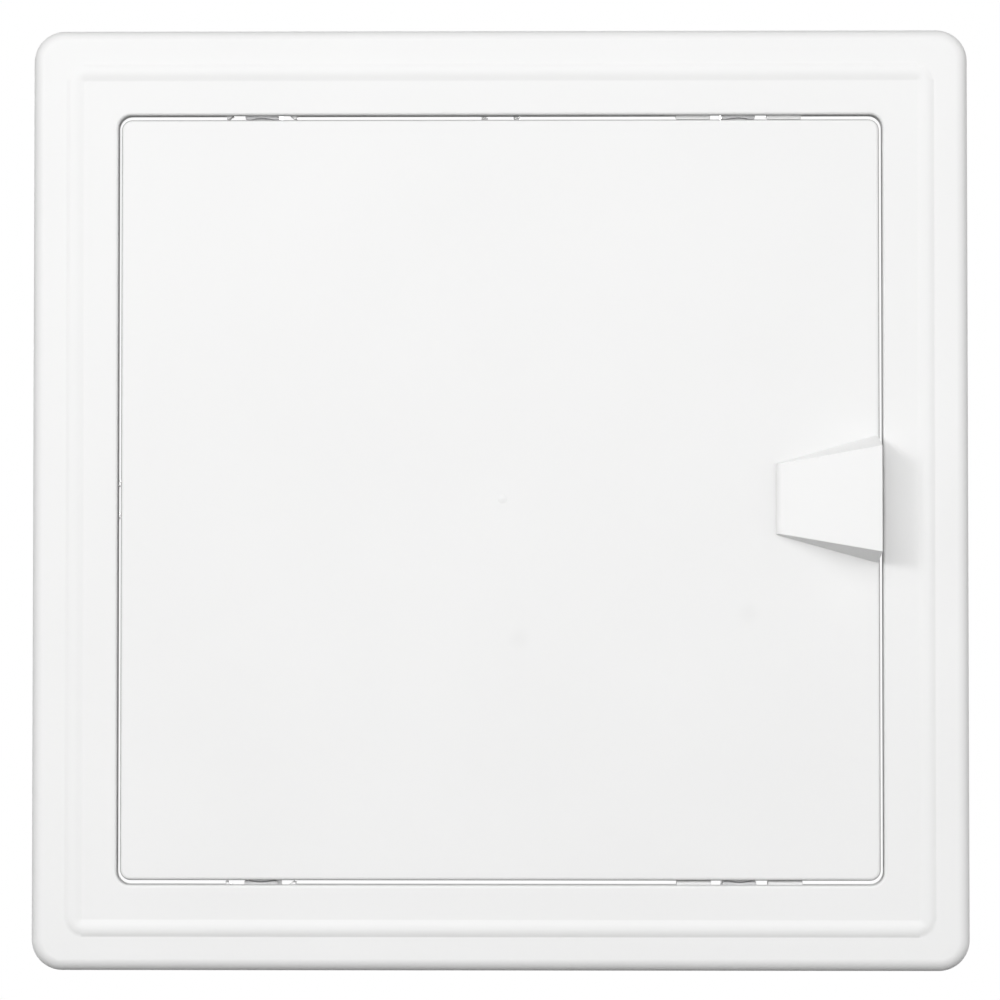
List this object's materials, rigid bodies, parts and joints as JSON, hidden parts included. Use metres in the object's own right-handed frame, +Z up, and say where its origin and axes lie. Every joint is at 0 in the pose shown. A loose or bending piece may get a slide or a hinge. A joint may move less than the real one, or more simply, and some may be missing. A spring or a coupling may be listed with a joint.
{
  "type": "access panel",
  "caption": "Square white access panel: beaded face frame with a collar for the cut-out, and a flush door that turns on side pivots, snaps shut in sprung catches and opens by a finger hood.",
  "frame": {"origin": "middle of the opening, on the wall plane behind the face", "axes": "+X to the right as the panel is seen from the front, +Y into the wall, +Z up; the face looks along -Y"},
  "size_m": [0.218, 0.0422, 0.219],
  "materials": {
    "frame_plastic": "satin white moulded plastic",
    "door_plastic": "satin white moulded plastic with a fine grain",
    "handle_plastic": "satin white moulded plastic",
    "stud_plastic": "smooth white moulded plastic",
    "tongue_plastic": "smooth white moulded plastic"
  },
  "bodies": {
    "frame": {"frame": "frame_plastic"},
    "door": {"door_panel": "door_plastic", "handle": "handle_plastic", "pivot_stud_top": "stud_plastic", "pivot_stud_bottom": "stud_plastic", "catch_stud_top": "stud_plastic", "catch_stud_bottom": "stud_plastic"},
    "pivot_tongue_top": {"pivot_tongue_top": "tongue_plastic"},
    "pivot_tongue_bottom": {"pivot_tongue_bottom": "tongue_plastic"},
    "catch_tongue_top": {"catch_tongue_top": "tongue_plastic"},
    "catch_tongue_bottom": {"catch_tongue_bottom": "tongue_plastic"}
  },
  "joints": [
    {"name": "door_swing", "type": "hinge", "parent": "frame", "child": "door", "pos_m": [-0.0556, 0.0002, 0], "axis": [0, 0, -1], "range_deg": [0, 150]},
    {"name": "pivot_tongue_top_flex", "type": "hinge", "parent": "frame", "child": "pivot_tongue_top", "pos_m": [-0.0556, 0.0165, 0.0904], "axis": [-1, 0, 0], "range_deg": [0, 4], "stiffness_Nm_per_rad": 0.3},
    {"name": "pivot_tongue_bottom_flex", "type": "hinge", "parent": "frame", "child": "pivot_tongue_bottom", "pos_m": [-0.0556, 0.0165, -0.0904], "axis": [1, 0, 0], "range_deg": [0, 4], "stiffness_Nm_per_rad": 0.3},
    {"name": "catch_tongue_top_flex", "type": "hinge", "parent": "frame", "child": "catch_tongue_top", "pos_m": [0.0556, 0.0165, 0.0904], "axis": [-1, 0, 0], "range_deg": [0, 4], "stiffness_Nm_per_rad": 0.3},
    {"name": "catch_tongue_bottom_flex", "type": "hinge", "parent": "frame", "child": "catch_tongue_bottom", "pos_m": [0.0556, 0.0165, -0.0904], "axis": [1, 0, 0], "range_deg": [0, 4], "stiffness_Nm_per_rad": 0.3}
  ]
}
